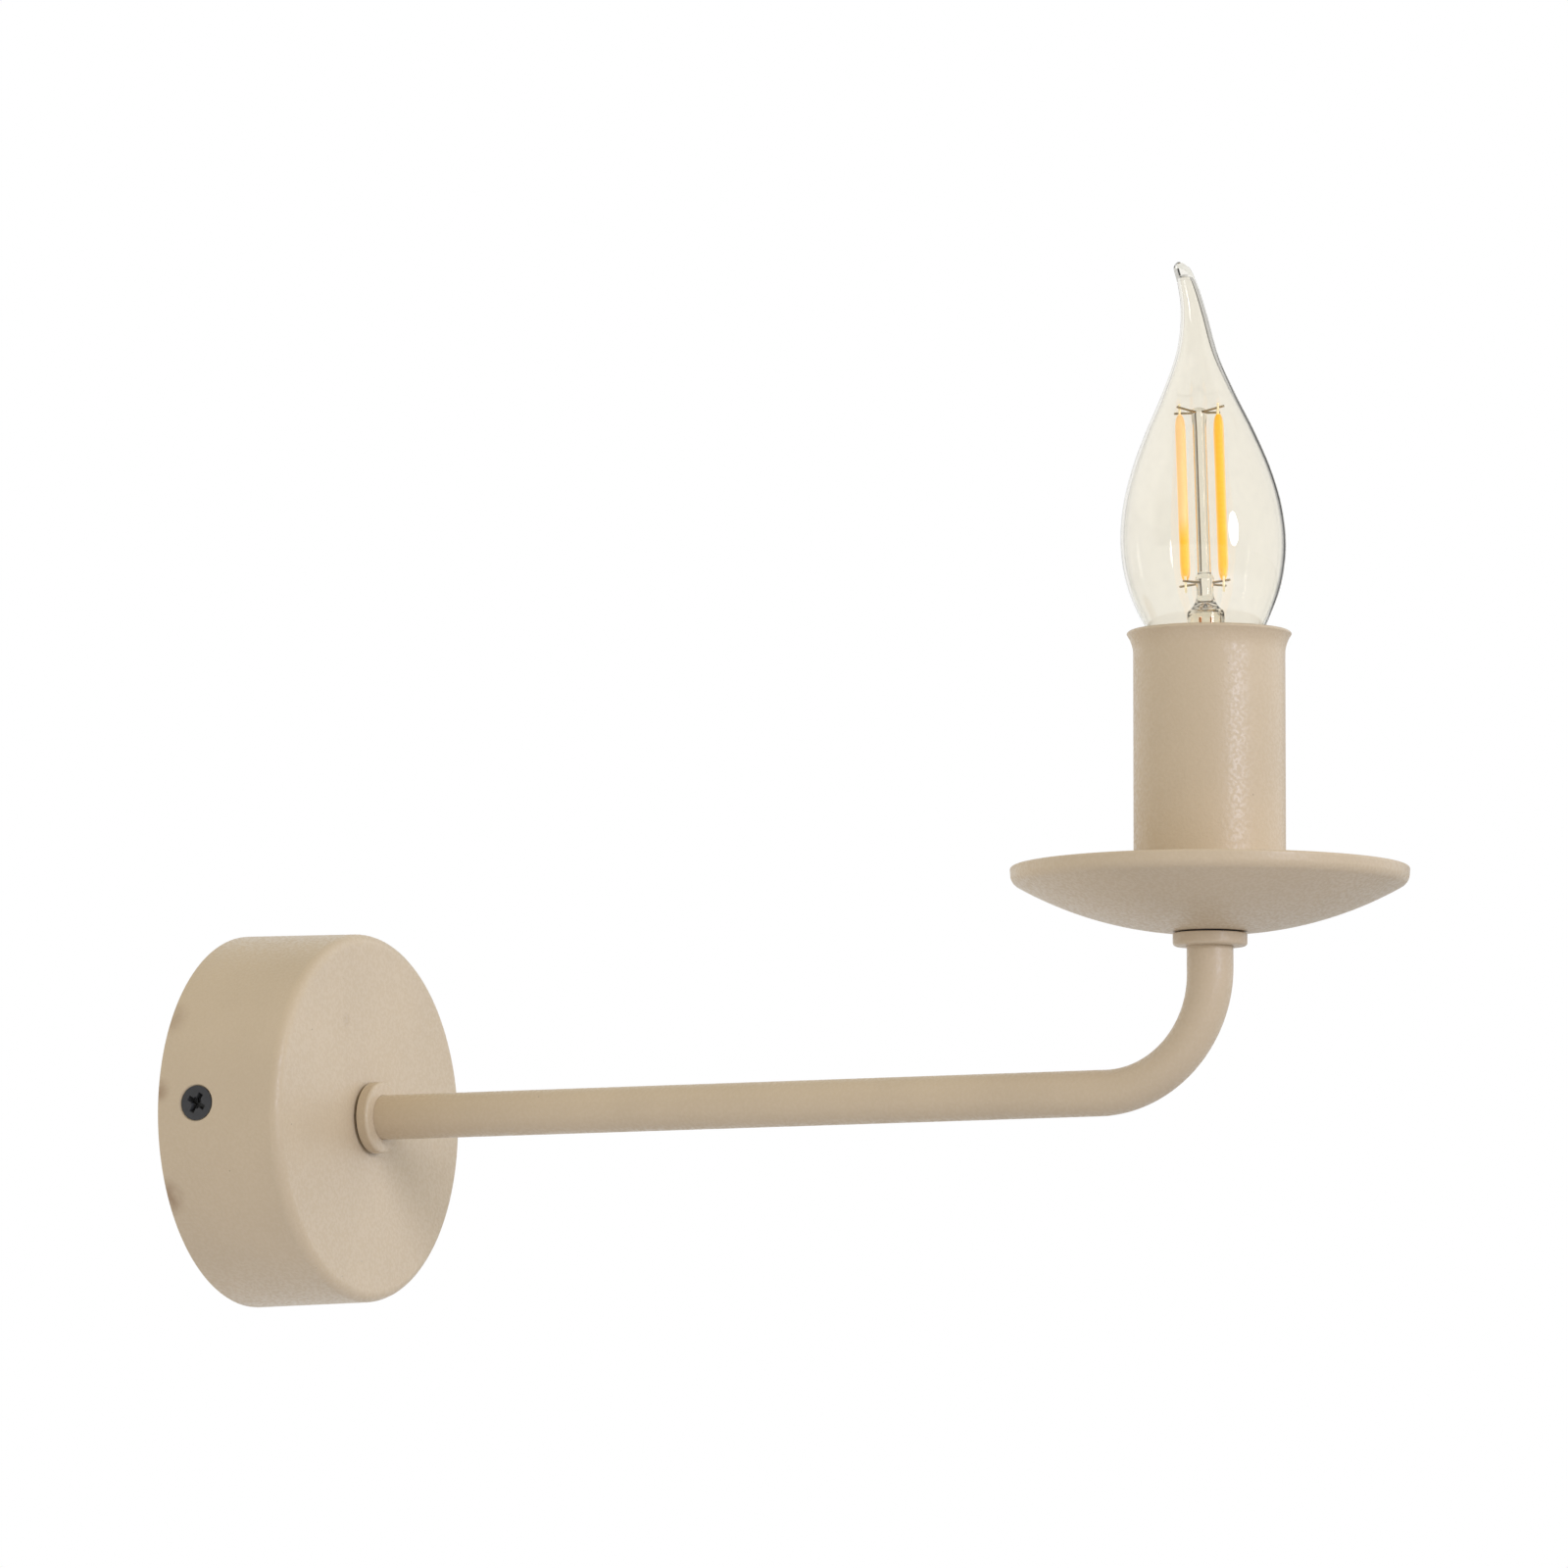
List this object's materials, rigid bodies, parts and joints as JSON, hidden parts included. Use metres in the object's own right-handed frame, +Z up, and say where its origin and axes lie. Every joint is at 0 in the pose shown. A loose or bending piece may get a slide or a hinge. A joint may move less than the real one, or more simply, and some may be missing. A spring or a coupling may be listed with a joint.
{
  "type": "wall lamp",
  "caption": "Wall lamp: round canopy, bent tube arm, drip dish and candle sleeve with a lampholder that takes a screw-in flame bulb.",
  "frame": {"origin": "middle of the canopy and of the wall bracket, on the wall plane", "axes": "+Y into the wall, so the arm stands out along -Y; +Z up; +X to the right of someone facing the wall"},
  "size_m": [0.086, 0.281, 0.2208],
  "materials": {
    "sand_coat": "fine matt powder coat",
    "black_zinc": "black plated, satin",
    "zinc_steel": "zinc plated, satin",
    "brass": "plain brass, satin",
    "white_plastic": "moulded, matt",
    "black_plastic": "moulded, matt",
    "brown_insulation": "soft, satin",
    "blue_insulation": "soft, satin",
    "green_insulation": "soft, satin, yellow stripe",
    "nickel": "nickel plated, satin",
    "bulb_glass": "clear, faint amber tint",
    "stem_glass": "clear",
    "black_glass": "fused, glossy",
    "phosphor": "translucent silicone, yellow",
    "filament_wire": "drawn wire",
    "copper": "drawn copper wire",
    "cement": "cured, rough",
    "circuit_board": "green lacquer"
  },
  "bodies": {
    "lamp": {"canopy_cup": "sand_coat", "canopy_side_screws": "black_zinc", "wall_bracket": "zinc_steel", "terminal_block": "white_plastic", "terminal_tubes": "brass", "terminal_clamp_screws": "zinc_steel", "terminal_block_screws": "zinc_steel", "canopy_lock_washer": "black_zinc", "canopy_collar": "sand_coat", "canopy_lock_nut": "zinc_steel", "earth_tag": "brass", "arm_tube": "sand_coat", "tube_bushes": "black_plastic", "live_wire": "brown_insulation", "neutral_wire": "blue_insulation", "earth_wire": "green_insulation", "dish_collar": "sand_coat", "dish_lock_washer": "black_zinc", "drip_dish": "sand_coat", "sleeve_washer": "zinc_steel", "candle_sleeve": "sand_coat", "sleeve_lock_nut": "zinc_steel", "lampholder_cap": "black_plastic", "lampholder_grub_screw": "zinc_steel", "lampholder_core": "white_plastic", "lampholder_live_contact": "brass", "lampholder_neutral_contact": "brass", "lampholder_terminal_screws": "zinc_steel", "lampholder_body": "black_plastic", "lampholder_screw_shell": "nickel"},
    "bulb_lift": {"bulb_centre_contact": "nickel"},
    "bulb": {"bulb_cap_insulator": "black_glass", "bulb_cap_shell": "nickel", "bulb_cement": "cement", "bulb_driver": "circuit_board", "bulb_driver_components": "black_plastic", "bulb_glass": "bulb_glass", "bulb_stem": "stem_glass", "bulb_filaments": "phosphor", "bulb_support_cross": "filament_wire", "bulb_lower_leads": "filament_wire", "bulb_lead_wires": "copper"}
  },
  "joints": [
    {"name": "bulb_rise", "type": "slide", "parent": "lamp", "child": "bulb_lift", "axis": [0, 0, 1], "range_m": [0, 0.00987]},
    {"name": "bulb_turn", "type": "hinge", "parent": "bulb_lift", "child": "bulb", "pos_m": [0, -0.238, 0.0613], "axis": [0, 0, 1], "range_deg": [0, 1260]}
  ],
  "couplings": [
    {"joint": "bulb_turn", "follows": "bulb_rise", "rad_per_m": 2226.5}
  ]
}
